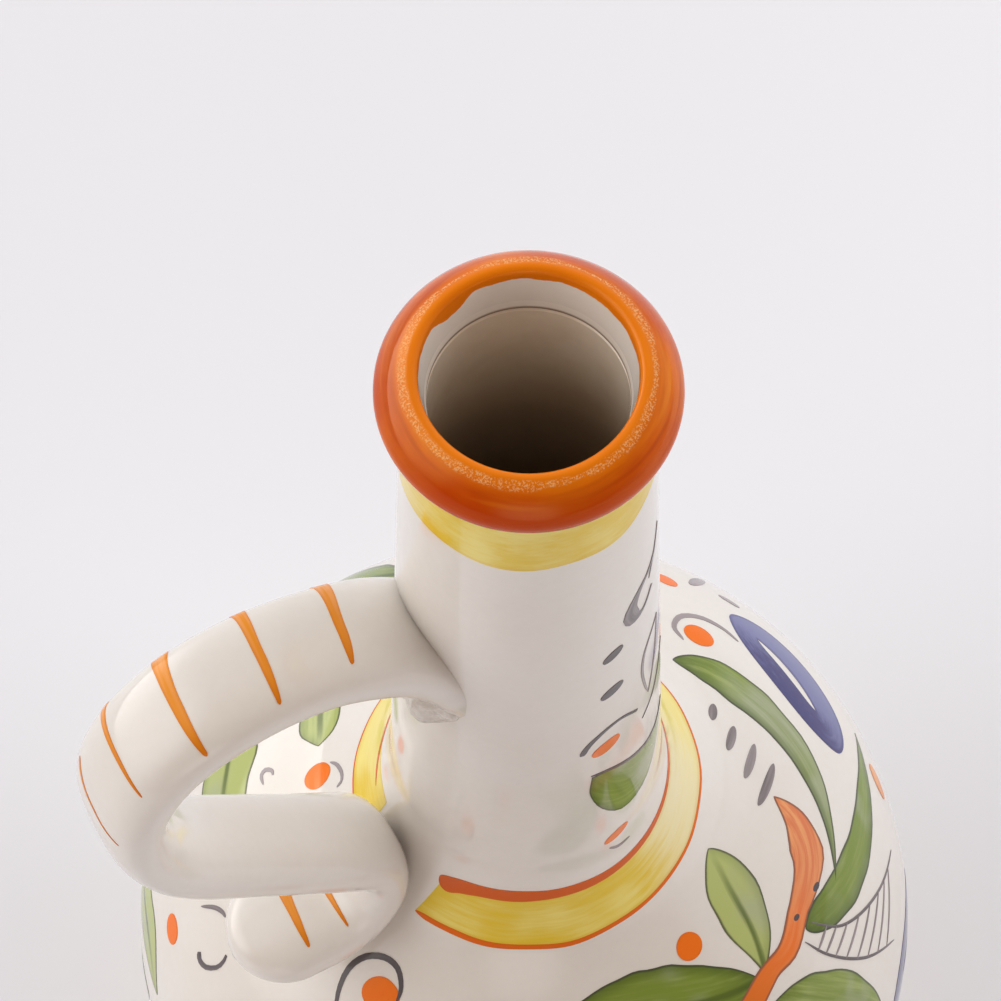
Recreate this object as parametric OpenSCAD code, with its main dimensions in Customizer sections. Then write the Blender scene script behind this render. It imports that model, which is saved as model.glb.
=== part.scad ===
// Glazed ceramic oil bottle: a round body on a foot ring, a tapered neck, a rolled rim,
// and a strap handle that loops from the neck down to its base and ends in a curled tail.
// Millimetres, +Z up, origin on the table at the bottle's axis, handle along -X.

/* [Body] */
// Diameter at the widest point
body_d = 103.6; // [96:0.2:109]
// Height of the widest point above the table
belly_z = 55.8; // [53.6:0.2:60]
// Radius of the shoulder's arc above the widest point
dome_round = 45.6; // [43:0.1:48]
// Radius of the arc below the widest point
belly_round = 66; // [62:0.5:72]
// Thickness of the body wall
wall = 4; // [3:0.1:5]
// Thickness of the floor on the axis
floor_t = 5; // [4:0.1:7]
// Radius of the dished floor inside
floor_dish = 70; // [60:1:120]

/* [Foot ring] */
// Diameter of the foot where it stands
foot_d = 61; // [58:0.5:66]
// Height of the foot ring
foot_h = 6; // [4:0.2:8]
// Width of the foot ring where it meets the body
foot_w = 4; // [3:0.1:6]
// Worn edge of the ring where it stands
foot_edge = 1.2; // [0.8:0.1:1.6]

/* [Neck] */
// Outer diameter at the top of the neck tube
neck_top_d = 26.84; // [26:0.02:27.6]
// Taper of the neck's side, in degrees
neck_taper = 2; // [1:0.1:3]
// Radius of the flare from the neck into the shoulder
flare_round = 30; // [20:0.5:36]
// Bore of the neck, where a stopper or pourer seats
bore_d = 21.2; // [19:0.1:22]

/* [Rim] */
// Height of the whole bottle
bottle_h = 217; // [205:0.5:230]
// Outer diameter of the rolled rim
rim_d = 32; // [31:0.1:34]
// Opening inside the rolled rim
mouth_d = 22.8; // [22.2:0.1:23.6]
// Height of the rim's section
rim_h = 8.8; // [8:0.1:10]
// Radius of the rim's inner lip
lip_round = 0.75; // [0.6:0.05:1]
// Radius of the rim's outer nose
nose_round = 2; // [1.6:0.1:2.4]
// Radius of the crown between the lip and the nose
crown_round = 8; // [7:0.5:10]
// Depth below the mouth of the neck tube's end, to which the throat narrows
seat_depth = 6.4; // [5.8:0.1:7]

/* [Handle] */
// Width of the strap
strap_w = 14.2; // [12:0.1:16]
// Thickness of the strap
strap_t = 7.8; // [7:0.1:8.4]
// Fullness of the strap's section, from 2 for an ellipse to squarer
strap_full = 2.5; // [2:0.1:3.2]
// Width of the strap along its lower run
low_w = 13.4; // [12:0.1:15]
// Width of the strap at its pressed-out tail
tail_w = 14.9; // [13:0.1:16]
// Extra width of the strap where it leaves the neck
root_spread = 3; // [0:0.1:5]
// Height at which the strap's centre line leaves the neck
root_z = 162; // [156:0.5:168]
// Climb of the strap as it leaves the neck, in degrees
root_climb = 67; // [60:0.5:70]
// Radius of the bend over the root
upper_bend = 26; // [24:0.5:28]
// Turn of the bend over the root, in degrees
upper_turn = 53.5; // [50:0.5:56]
// Radius of the bend at the handle's furthest reach
crown_bend = 16.5; // [15:0.5:18]
// Turn of the bend at the furthest reach, in degrees
crown_turn = 101; // [98:0.5:104]
// Radius of the bend into the lower run
outer_bend = 34.5; // [33:0.5:36]
// Turn of the bend into the lower run, in degrees
outer_turn = 42; // [40:0.5:43]
// Length of the straight lower run
lower_run = 30; // [29:0.5:31]
// Radius of the curl at the foot of the strap
curl_bend = 8.2; // [7.6:0.1:8.6]
// Turn of the curl, in degrees
curl_turn = 136; // [130:0.5:142]
// Length of the tail before its round tip
tail = 3.4; // [1:0.1:6]
// Sideways drift of the hand-bent lower run
low_drift = 0.4; // [0:0.1:0.8]
// Sideways drift of the tail
tail_drift = 1.4; // [0:0.1:2]

/* [Root slip] */
// Thickness of the clay roll pressed in under the upper root
slip_d = 5.6; // [4.8:0.1:6.4]
// Height of that roll
slip_z = 156; // [154:0.5:158]
// Width of the roll across the root
slip_w = 18; // [14:0.5:20]

/* [Hidden] */
$fn = 96;
cream = "#efe9df";
orange = "#d8671d";
clay = "#e4dccf";

// Body: the shoulder and the belly are arcs that meet upright at the widest point
body_r = body_d/2;
dome_c = [body_r - dome_round, belly_z];
belly_c = [body_r - belly_round, belly_z];
foot_top_r = belly_c.x + sqrt(belly_round^2 - (belly_z - foot_h)^2);

// Neck: a cone, with a flare arc that runs into it and touches the shoulder's arc
seat_z = bottle_h - seat_depth;
slope = tan(neck_taper);
cone_base = neck_top_d/2 + seat_z*slope;
flare_span = cone_base + flare_round - dome_c.x;
flare_mid = flare_span*slope + dome_c.y;
flare_rest = flare_span^2 + dome_c.y^2 - (dome_round + flare_round)^2;
flare_z = (flare_mid + sqrt(flare_mid^2 - (1 + slope^2)*flare_rest))/(1 + slope^2);
flare_c = [cone_base - slope*flare_z + flare_round, flare_z];
seam_dir = (flare_c - dome_c)/norm(flare_c - dome_c);
seam_axis_z = dome_c.y - dome_c.x*seam_dir.y/seam_dir.x;
function neck_r(z) = cone_base - slope*z;

// Rim: a crown arc above and below, each inside tangent to a small lip and to the nose
rim_r = rim_d/2;
mouth_r = mouth_d/2;
bore_r = bore_d/2;
rim_z = bottle_h - rim_h/2;
nose_c = [rim_r - nose_round, rim_z];
lip_c = [mouth_r + lip_round, bottle_h - lip_round];
lip_gap = norm(nose_c - lip_c);
lip_dir = (nose_c - lip_c)/lip_gap;
from_lip = crown_round - lip_round;
from_nose = crown_round - nose_round;
crown_along = (from_lip^2 - from_nose^2 + lip_gap^2)/(2*lip_gap);
crown_c = lip_c + crown_along*lip_dir + sqrt(from_lip^2 - crown_along^2)*[lip_dir.y, -lip_dir.x];
under_c = [crown_c.x, 2*rim_z - crown_c.y];
crown_top = atan2(lip_c.y - crown_c.y, lip_c.x - crown_c.x);
crown_end = atan2(nose_c.y - crown_c.y, nose_c.x - crown_c.x);
function arc(c, r, from, to, steps) = [
    for (k = [1 : steps]) let (a = from + (to - from)*k/steps) c + r*[cos(a), sin(a)]
];

// Handle: bends and straights of the strap's centre line, as [radius, turn] or [length, 0].
// It starts inside the neck wall, so that the root is cut to the neck's own surface.
root_r = 13;
root_lead = 9;
root = [root_r, root_z] - root_lead*[cos(root_climb), sin(root_climb)];
route = [
    [root_lead, 0],
    [upper_bend, -upper_turn],
    [crown_bend, -crown_turn],
    [outer_bend, -outer_turn],
    [lower_run, 0],
    [curl_bend, curl_turn],
    [tail, 0]
];
strap_steps = [1, 8, 12, 6, 3, 14, 2];
tip_steps = 6;
strap_sides = 24;
spread_run = 22;

function left(h) = [-sin(h), cos(h)];
function after(p, h, s, t) = s[1] == 0
    ? p + t*s[0]*[cos(h), sin(h)]
    : p + sign(s[1])*s[0]*(left(h) - left(h + t*s[1]));
function place(i) = i == 0 ? root : after(place(i - 1), heading(i - 1), route[i - 1], 1);
function heading(i) = i == 0 ? root_climb : heading(i - 1) + route[i - 1][1];
function run_to(i) = i == 0 ? -root_lead : run_to(i - 1) + length(route[i - 1]);
function length(s) = s[1] == 0 ? s[0] : s[0]*abs(s[1])*PI/180;

// Rings of the strap's section: along the route, and then shrinking round the tip.
// Width and drift change over the outer bend and over the curl.
function bulge(v) = sign(v)*pow(abs(v), 2/strap_full);
function spread(run) = root_spread*pow(max(0, 1 - max(0, run)/spread_run), 2);
function between(i, t, a, b, c) = i < 3 ? a
    : i == 3 ? a + t*(b - a)
    : i == 4 ? b
    : i == 5 ? b + t*t*(3 - 2*t)*(c - b)
    : c;
function width(i, t) = between(i, t, strap_w, low_w, tail_w) + spread(run_to(i) + t*length(route[i]));
function drift(i, t) = between(i, t, 0, low_drift, tail_drift);
function oval(p, h, w, t, side) = [
    for (j = [0 : strap_sides - 1])
        let (a = 360*j/strap_sides, q = p + t/2*bulge(sin(a))*left(h))
        [q.x, q.y, w/2*bulge(cos(a)) - side]
];
function ring(i, t) = let (s = route[i], h = heading(i))
    oval(after(place(i), h, s, t), h + t*s[1], width(i, t), strap_t, drift(i, t));
tail_end = place(len(route));
tail_h = heading(len(route));
function tip_ring(a) = oval(
    tail_end + tail_w/2*sin(a)*[cos(tail_h), sin(tail_h)],
    tail_h,
    tail_w*cos(a),
    strap_t*sqrt(cos(a)),
    tail_drift
);
rings = [
    for (i = [0 : len(route) - 1], k = [0 : strap_steps[i] - 1]) ring(i, k/strap_steps[i]),
    for (k = [0 : tip_steps]) tip_ring(84*k/tip_steps)
];

// Half of the shoulder's section, set in by d, from the widest point to the seam with the neck
module dome_area(d) {
    intersection() {
        translate(dome_c) circle(dome_round - d);
        polygon([dome_c, dome_c + [body_d, 0], dome_c + body_d*seam_dir]);
    }
}

// Half of the neck's section, set in by d, from the seam with the shoulder up to a height
module neck_area(d, top) {
    low = flare_z - flare_round*slope;
    difference() {
        polygon([[0, seam_axis_z], flare_c, [neck_r(low) - d, low], [neck_r(top) - d, top], [0, top]]);
        translate(flare_c) circle(flare_round + d);
    }
}

// The neck as a filled form, which the handle and its slip are cut to
module neck_form() {
    rotate_extrude() neck_area(0, seat_z);
}

// Half of the rolled rim's section, with its throat narrowing from the lip to the bore
module rim_area() {
    polygon([
        [bore_r, rim_z - rim_h/2],
        [bore_r, seat_z],
        [mouth_r, lip_c.y],
        each arc(lip_c, lip_round, 180, crown_top, 6),
        each arc(crown_c, crown_round, crown_top, crown_end, 6),
        each arc(nose_c, nose_round, crown_end, -crown_end, 8),
        each arc(under_c, crown_round, -crown_end, -crown_top, 6)
    ]);
}

// Stands the handle's plane upright, with its reach along -X
module upright() {
    rotate([90, 0, 180]) children();
}

// The whole strap as one loft of its rings, before it is cut to the bottle
module strap() {
    count = len(rings);
    side_faces = [
        for (i = [0 : count - 2], j = [0 : strap_sides - 1])
            let (k = (j + 1)%strap_sides, a = i*strap_sides, b = a + strap_sides)
            each [[a + j, b + j, b + k], [a + j, b + k, a + k]]
    ];
    start_cap = [for (j = [0 : strap_sides - 1]) j];
    end_cap = [for (j = [strap_sides - 1 : -1 : 0]) (count - 1)*strap_sides + j];
    upright() polyhedron([for (r = rings) each r], concat([start_cap, end_cap], side_faces));
}

// Turned foot ring with worn edges
module foot_ring() {
    foot_r = foot_d/2;
    inner_r = foot_top_r - foot_w;
    color(clay) rotate_extrude() polygon([
        [inner_r, foot_h],
        [foot_top_r, foot_h],
        [foot_r, foot_edge],
        [foot_r - foot_edge, 0],
        [inner_r + foot_edge, 0],
        [inner_r, foot_edge]
    ]);
}

// Lower half of the body, a bowl with a dished floor
module lower_body() {
    color(cream) rotate_extrude() difference() {
        intersection() {
            translate(belly_c) circle(belly_round);
            translate([0, foot_h]) square([body_d, belly_z - foot_h]);
        }
        intersection() {
            translate(belly_c) circle(belly_round - wall);
            translate([0, foot_h + floor_t + floor_dish]) circle(floor_dish);
        }
    }
}

// Upper half of the body, from the widest point to the neck
module shoulder() {
    color(cream) rotate_extrude() difference() {
        dome_area(0);
        dome_area(wall);
    }
}

// Neck tube with its flared base, and a straight bore at the top that widens below with the taper
module neck() {
    color(cream) rotate_extrude() difference() {
        neck_area(0, seat_z);
        neck_area(wall, bottle_h);
        square([bore_r, bottle_h]);
    }
}

// Rolled rim, seated over the end of the neck tube
module rim_ring() {
    color(orange) rotate_extrude() difference() {
        rim_area();
        neck_area(0, seat_z);
    }
}

// Strap handle, cut to the neck at its root and to the flare at its curl
module handle() {
    color(cream) difference() {
        strap();
        neck_form();
    }
}

// Clay roll pressed in under the handle's upper root, flat where the strap's underside lies on it
module root_slip() {
    slip_r = neck_r(slip_z) + slip_d/5;
    color(clay) difference() {
        intersection() {
            rotate_extrude() translate([slip_r, slip_z]) circle(d = slip_d);
            translate([-slip_r, 0, slip_z]) sphere(d = slip_w);
        }
        neck_form();
        upright() translate([root_r, root_z]) rotate(root_climb) translate([-body_r, -strap_t/2])
            linear_extrude(body_d, center = true) square(body_d);
    }
}

foot_ring();
lower_body();
shoulder();
neck();
rim_ring();
handle();
root_slip();
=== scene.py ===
from math import asin, atan2, copysign, cos, degrees, exp, hypot, pi, radians, sin, sqrt, tan

import bmesh
import bpy
from mathutils import Matrix, Vector, noise


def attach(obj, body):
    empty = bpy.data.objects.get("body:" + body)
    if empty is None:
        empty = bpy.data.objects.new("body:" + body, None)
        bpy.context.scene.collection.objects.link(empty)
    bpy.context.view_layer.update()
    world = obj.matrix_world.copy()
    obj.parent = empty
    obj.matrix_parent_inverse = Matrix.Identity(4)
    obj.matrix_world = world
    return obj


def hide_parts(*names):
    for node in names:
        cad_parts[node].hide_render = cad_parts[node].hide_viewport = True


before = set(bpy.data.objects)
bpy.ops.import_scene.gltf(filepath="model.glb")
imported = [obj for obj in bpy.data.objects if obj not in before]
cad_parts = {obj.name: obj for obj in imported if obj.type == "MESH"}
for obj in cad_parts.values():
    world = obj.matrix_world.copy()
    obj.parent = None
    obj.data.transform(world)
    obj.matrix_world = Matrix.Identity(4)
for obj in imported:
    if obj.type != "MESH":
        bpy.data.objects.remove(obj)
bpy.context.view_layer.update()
print("frame loaded:", ", ".join(sorted(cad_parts)))

mm = 0.001
creaseAngle = radians(42)  # an edge sharper than this is shaded as an edge

# the bottle's own outline, in millimetres and degrees, as in the frame
bottle = {
    "neckTop": 13.35, "neckTopZ": 212.6, "taper": 2.0, "seat": 210.6,
    "flareRound": 30.0, "domeRound": 45.6, "bodyRadius": 51.8, "bellyZ": 55.8,
    "bellyRound": 66.0, "footTop": 6.0, "wall": 4.0, "bore": 10.6, "floor": 5.0,
    "floorDish": 70.0,
    "groove": (0.3, 0.35, 0.6),  # how wide, how far down, and where it is back at the bore
    "turns": 192,
    "handWork": (0.14, 26.0, 0.09),  # how uneven, its grain, and the least it lies inside its true round
}

taper = radians(bottle["taper"])
slope = tan(taper)
flareRound, domeRound, bellyRound = bottle["flareRound"], bottle["domeRound"], bottle["bellyRound"]
coneBase = bottle["neckTop"] + bottle["neckTopZ"] * slope
domeX = bottle["bodyRadius"] - domeRound
bellyX = bottle["bodyRadius"] - bellyRound
bellyZ = bottle["bellyZ"]
flareSpan = coneBase + flareRound - domeX
flareMid = flareSpan * slope + bellyZ
flareRest = flareSpan**2 + bellyZ**2 - (domeRound + flareRound) ** 2
flareZ = (flareMid + sqrt(flareMid**2 - (1 + slope**2) * flareRest)) / (1 + slope**2)
flareX = coneBase - slope * flareZ + flareRound
seamAngle = atan2(flareZ - bellyZ, flareX - domeX)
footAngle = asin((bellyZ - bottle["footTop"]) / bellyRound)
footRadius = bellyX + bellyRound * cos(footAngle)

# lengths down the outline from the top of the neck
neckRun = (bottle["neckTopZ"] - flareZ) / cos(taper)
flareRun = neckRun + seamAngle * flareRound
domeRun = flareRun + seamAngle * domeRound


def neckRadius(z):
    return coneBase - slope * z


def outline(run):
    # radius, height and outward normal (radial, up) at a length down the outside
    if run <= neckRun:
        z = bottle["neckTopZ"] - run * cos(taper)
        return neckRadius(z), z, 1.0, slope
    if run <= flareRun:
        a = (run - neckRun) / flareRound
        c, s = cos(a), sin(a)
        return flareX - flareRound * c, flareZ - flareRound * s, c, s
    if run <= domeRun:
        a, x, bend = seamAngle - (run - flareRun) / domeRound, domeX, domeRound
    else:
        a, x, bend = -(run - domeRun) / bellyRound, bellyX, bellyRound
    c, s = cos(a), sin(a)
    return x + bend * c, bellyZ + bend * s, c, s


def handWork(point, made):
    # how far a hand-finished surface lies inside its true form, in millimetres
    deep, grain, least = made
    return deep * 0.5 * (noise.noise(point / grain) - 1) - least


def pressIn(vert):
    # moves a point of a turned piece towards the axis, as the hand left it
    r = hypot(vert.co.x, vert.co.y)
    if r > 1:
        vert.co += Vector((vert.co.x / r, vert.co.y / r, 0)) * handWork(vert.co, bottle["handWork"])


def onGlaze(azimuth, run, lift=0.0):
    r, z, nr, nz = outline(run)
    a = radians(azimuth)
    flat = Vector((r * cos(a), r * sin(a), z))
    out = Vector((cos(a), sin(a), 0))
    return flat + out * handWork(flat, bottle["handWork"]) + (out * nr + Vector((0, 0, nz))) * lift


def runLine(bm, start, target, cuts):
    begin, end = start.co.copy(), Vector((target[0], 0, target[1]))
    for k in range(cuts + 1):
        start = bmesh.ops.extrude_vert_indiv(bm, verts=[start])["verts"][0]
        start.co = begin.lerp(end, (k + 1) / (cuts + 1))
    return start


def runArc(bm, start, centre, turn, steps):
    # a positive turn goes anticlockwise in the (radius, height) plane
    new = bmesh.ops.spin(
        bm,
        geom=[start],
        cent=(centre[0], 0, centre[1]),
        axis=(0, 1, 0),
        dvec=(0, 0, 0),
        angle=-radians(turn),
        steps=steps,
    )
    return [g for g in new["geom_last"] if isinstance(g, bmesh.types.BMVert)][0]


def turnProfile(bm):
    bmesh.ops.spin(
        bm,
        geom=bm.verts[:] + bm.edges[:],
        cent=(0, 0, 0),
        axis=(0, 0, 1),
        dvec=(0, 0, 0),
        angle=2 * pi,
        steps=bottle["turns"],
        use_merge=True,
    )
    bmesh.ops.remove_doubles(bm, verts=bm.verts[:], dist=1e-4)
    bmesh.ops.recalc_face_normals(bm, faces=bm.faces[:])


def addObject(name, data):
    new = bpy.data.objects.new(name, data)
    bpy.context.scene.collection.objects.link(new)
    return new


def addMesh(bm, name, material):
    mesh = bpy.data.meshes.new(name)
    bm.to_mesh(mesh)
    bm.free()
    mesh.materials.append(material)
    return addObject(name, mesh)


def makePiece(bm, name, material, nodes=()):
    bmesh.ops.scale(bm, vec=(mm, mm, mm), verts=bm.verts[:])
    for f in bm.faces:
        f.smooth = True
    for e in bm.edges:
        if len(e.link_faces) == 2 and e.calc_face_angle() > creaseAngle:
            e.smooth = False
    piece = addMesh(bm, name, material)
    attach(piece, "root")
    if nodes:
        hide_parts(*nodes)
    return piece


class Finish:
    # the nodes of one material or of the room, with short words for what is used often
    def __init__(self, owner):
        owner.use_nodes = True
        self.owner, self.tree = owner, owner.node_tree

    def put(self, value, socket):
        # a socket takes a link or a fixed value
        if isinstance(value, bpy.types.NodeSocket):
            self.tree.links.new(value, socket)
        else:
            socket.default_value = value

    def node(self, kind, inputs=None, **settings):
        # gives the outputs of a new node
        new = self.tree.nodes.new("ShaderNode" + kind)
        for key, value in settings.items():
            setattr(new, key, value)
        for key, value in (inputs or {}).items():
            self.put(value, new.inputs[key])
        return new.outputs

    def calc(self, operation, a, b=0.0):
        return self.node("Math", {0: a, 1: b}, operation=operation)[0]

    def plus(self, a, b):
        return self.calc("ADD", a, b)

    def minus(self, a, b):
        return self.calc("SUBTRACT", a, b)

    def times(self, a, b):
        return self.calc("MULTIPLY", a, b)

    def rise(self, value, low, high):
        # smooth step of a value from low to high
        limits = {"Value": value, "From Min": low, "From Max": high}
        return self.node("MapRange", limits, interpolation_type="SMOOTHSTEP")["Result"]

    def fall(self, value, low, high):
        return self.minus(1.0, self.rise(value, low, high))

    def mix(self, share, a, b):
        return self.node("Mix", {0: share, 6: a, 7: b}, data_type="RGBA")[2]

    def coat(self, colour, over, mask, share):
        # a share of a second colour laid over the first
        return self.mix(self.times(mask, share), colour, over)

    def split(self, vector):
        return self.node("SeparateXYZ", {0: vector})

    def dot(self, a, b):
        return self.node("VectorMath", {0: a, 1: b}, operation="DOT_PRODUCT")["Value"]

    def where(self):
        return self.node("TexCoord")["Object"]

    def attribute(self, name, kind="Vector"):
        return self.node("Attribute", attribute_name=name)[kind]

    def cloud(self, scale, detail=2.0, rough=0.5, stretch=None):
        place = self.where()
        if stretch:
            place = self.node("Mapping", {"Vector": place, "Scale": stretch})[0]
        inputs = {"Vector": place, "Scale": scale, "Detail": detail, "Roughness": rough}
        return self.node("TexNoise", inputs)["Fac"]

    def bump(self, height, strength):
        return self.node("Bump", {"Height": height, "Strength": strength, "Distance": mm})["Normal"]

    def shade(self, inputs):
        shader = self.tree.nodes["Principled BSDF"]
        for key, value in inputs.items():
            self.put(value, shader.inputs[key])
        return self.owner


def startFinish(name):
    return Finish(bpy.data.materials.new(name))


creamGlaze = {
    "warm": (0.79, 0.74, 0.675, 1),
    "pale": (0.82, 0.785, 0.735, 1),
    "grain": (0.62, 0.57, 0.5, 1),
    "wash": (0.86, 0.77, 0.64, 1),
    "washDark": (0.78, 0.68, 0.55, 1),
    # painted shade deep in the bore, and the heights over which it gives way to the wash
    "boreShade": (0.46, 0.36, 0.26, 1),
    "boreShadeHeights": (0.184, 0.206),  # metres
    # painted shade for the folds of the slip
    "foldShade": (0.48, 0.39, 0.30, 1),
    "slipRough": 0.2, "slipBump": 0.7, "rough": 0.085, "ior": 1.52, "ripple": 0.035,
}


def creamColour(m):
    # milk glaze over pale clay: drifts from warm to pale, with a fine grain
    drift = m.rise(m.cloud(28, 3.0, 0.55), 0.32, 0.68)
    base = m.mix(drift, creamGlaze["warm"], creamGlaze["pale"])
    return m.coat(base, creamGlaze["grain"], m.rise(m.cloud(900), 0.3, 0.75), 0.06)


def rippled(m, strength):
    # slow waves with a finer unevenness on them
    return m.bump(m.plus(m.cloud(95, 1.0), m.times(m.cloud(420), 0.22)), strength)


def glazed(m, colour):
    # the shader's inputs for a glossy glaze of a colour
    return {
        "Base Color": colour,
        "Roughness": creamGlaze["rough"],
        "IOR": creamGlaze["ior"],
        "Normal": rippled(m, creamGlaze["ripple"]),
    }


def makeCreamGlaze():
    m = startFinish("creamGlaze")
    return m.shade(glazed(m, creamColour(m)))


def makeBodyGlaze():
    # cream outside, and inside a thin brownish wash, with painted shade that makes it darker further down
    # the bore
    m = startFinish("bodyGlaze")
    stain = m.rise(m.cloud(140, 4.0, 0.6), 0.3, 0.75)
    wash = m.mix(stain, creamGlaze["wash"], creamGlaze["washDark"])
    # painted shade: the inside is darker further down the bore
    high = m.rise(m.split(m.where())[2], *creamGlaze["boreShadeHeights"])
    wash = m.mix(high, creamGlaze["boreShade"], wash)
    return m.shade(glazed(m, m.mix(m.attribute("inside", "Fac"), creamColour(m), wash)))


def makeSlipGlaze():
    # the same glaze over rough slip, with painted shade darkening its folds
    m = startFinish("slipGlaze")
    # the folds give both the bump and the painted shade in them
    folds = m.cloud(430, 3.0, 0.6)
    return m.shade({
        "Base Color": m.coat(creamColour(m), creamGlaze["foldShade"], m.fall(folds, 0.36, 0.52), 0.45),
        "Roughness": creamGlaze["slipRough"],
        "Normal": m.bump(folds, creamGlaze["slipBump"]),
    })


# body: foot seat, belly, shoulder, flare, neck and the hollow inside as one glazed skin

def insideWall(r, z):
    # true for points of the hollow, which lie a wall's thickness inside the outline
    clear = 1.5
    fromFlare = hypot(r - flareX, z - flareZ) - flareRound
    if z > flareZ:
        return r < neckRadius(z) - clear
    if z > bellyZ + domeRound * sin(seamAngle) and fromFlare < 2 * bottle["wall"]:
        return fromFlare > clear
    if z > bellyZ:
        return hypot(r - domeX, z - bellyZ) < domeRound - clear
    return z > bottle["footTop"] + 2 and hypot(r - bellyX, z - bellyZ) < bellyRound - clear


def makeBody():
    wall, bore, seat, footTop, dish = (bottle[k] for k in ("wall", "bore", "seat", "footTop", "floorDish"))
    turn = degrees(seamAngle)
    bm = bmesh.new()
    v = bm.verts.new((0, 0, footTop))
    v = runLine(bm, v, (footRadius, footTop), 4)
    v = runArc(bm, v, (bellyX, bellyZ), degrees(footAngle), 40)
    v = runArc(bm, v, (domeX, bellyZ), turn, 40)
    v = runArc(bm, v, (flareX, flareZ), -turn, 34)
    v = runLine(bm, v, (neckRadius(seat), seat), 48)
    # a fine groove is left where the throat of the rim ends
    grooveWide, grooveDown, grooveEnd = bottle["groove"]
    v = runLine(bm, v, (bore + grooveWide, seat), 1)
    v = runLine(bm, v, (bore + grooveWide, seat - grooveDown), 0)
    v = runLine(bm, v, (bore, seat - grooveEnd), 0)
    v = runLine(bm, v, (bore, (coneBase - wall - bore) / slope), 8)
    v = runLine(bm, v, (neckRadius(flareZ) - wall, flareZ), 8)
    v = runArc(bm, v, (flareX, flareZ), turn, 12)
    v = runArc(bm, v, (domeX, bellyZ), -turn, 14)
    # down the inside of the belly to where the dished floor starts
    dishZ = footTop + bottle["floor"] + dish
    inner = bellyRound - wall

    def fromDish(angle):
        return hypot(bellyX + inner * cos(angle), bellyZ - inner * sin(angle) - dishZ)

    down = 0.0
    while fromDish(down) < dish:
        down += 0.002
    v = runArc(bm, v, (bellyX, bellyZ), -degrees(down), 14)
    v = runArc(bm, v, (0, dishZ), -degrees(asin(v.co.x / dish)), 10)
    v.co.x = 0
    turnProfile(bm)
    inside = bm.verts.layers.float.new("inside")
    for p in bm.verts:
        p[inside] = 1.0 if insideWall(hypot(p.co.x, p.co.y), p.co.z) else 0.0
        pressIn(p)
    return makePiece(bm, "glazedBody", makeBodyGlaze(), ("lower_body", "shoulder", "neck"))


bodyPiece = makeBody()
print("body turned:", len(bodyPiece.data.polygons), "faces")


footRing = {
    "out": 30.5, "wide": 4.0, "edge": 1.2,
    "bare": (0.70, 0.60, 0.48, 1),
    "sandy": (0.60, 0.48, 0.35, 1),
    "glazeHeights": (0.0024, 0.0030),  # metres
    "bareRough": 0.85, "bump": 0.12,
}


def makeClay():
    # bare sandy clay below a ragged edge of glaze
    m = startFinish("bareClay")
    clay = m.mix(m.rise(m.cloud(700, 4.0, 0.7), 0.35, 0.7), footRing["bare"], footRing["sandy"])
    ragged = m.plus(m.split(m.where())[2], m.times(m.cloud(160, 3.0), 0.0012))
    covered = m.rise(ragged, *footRing["glazeHeights"])
    rough = {"Value": covered, "To Min": footRing["bareRough"], "To Max": creamGlaze["rough"]}
    return m.shade({
        "Base Color": m.mix(covered, clay, creamColour(m)),
        "Roughness": m.node("MapRange", rough)["Result"],
        "Normal": rippled(m, footRing["bump"]),
    })


def makeFoot():
    out, e, height = footRing["out"], footRing["edge"], bottle["footTop"]
    inside = footRadius - footRing["wide"]
    bm = bmesh.new()
    v = first = bm.verts.new((footRadius, 0, height))
    v = runLine(bm, v, (out, e), 6)
    v = runArc(bm, v, (out - e, e), -90, 6)
    v = runLine(bm, v, (inside + e, 0), 2)
    v = runArc(bm, v, (inside + e, e), -90, 6)
    v = runLine(bm, v, (inside, height), 3)
    bm.edges.new((v, first))
    turnProfile(bm)
    return makePiece(bm, "footRing", makeClay(), ("foot_ring",))


makeFoot()
print("foot ring turned")


rim = {
    "out": 16.0, "mouth": 11.4, "height": 8.8, "lip": 0.75, "nose": 2.0,
    "crown": 8.0, "top": 217.0,
    "sink": 0.1,  # how far its underside lies in the neck
    "orange": (0.62, 0.078, 0.001, 1),
    "bright": (0.84, 0.215, 0.003, 1),
    # brown: streaks, and the painted shadow along the lower edge
    "brown": (0.24, 0.028, 0.006, 1),
    # painted highlight along the crest
    "crestGlint": (0.88, 0.56, 0.25, 1),
    "sheen": (1.0, 0.68, 0.36, 1),
    "red": (0.44, 0.045, 0.001, 1),
    # deep: painted shade on the lower part of one side
    "deep": (0.50, 0.042, 0.0005, 1),
    "pale": (0.84, 0.26, 0.012, 1),
    # step: painted shade in the step below the throat
    "step": (0.26, 0.20, 0.15, 1),
    "brush": 900,
    "shadedSide": (-0.5, -0.866, 0),
    # heights and radii of the material in metres
    "sideShadeHeights": (0.2140, 0.2166),
    "edgeShadowHeights": (0.2114, 0.2124),
    "upperHeights": (0.2155, 0.2162),
    "inwardRadii": (0.0121, 0.0142),
    "throatRadii": (0.01155, 0.0118),
    "crest": (0.01255, 0.0006),
    "glintWidth": (0.00022, 0.00045),
    "paintHeights": (0.21547, 0.21563),
    "stepShadeHeights": (0.2107, 0.2111),
    "runAzimuth": 106.0, "runRadius": 0.0113, "runHeight": 0.2146,
    "runSpread": (0.0006, 0.0036),
    "runDown": 0.0014, "ragged": 0.0010,
    "rough": (0.07, 0.45),
    "ior": 1.5, "specular": 0.36, "ripple": 0.06,
}


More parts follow.
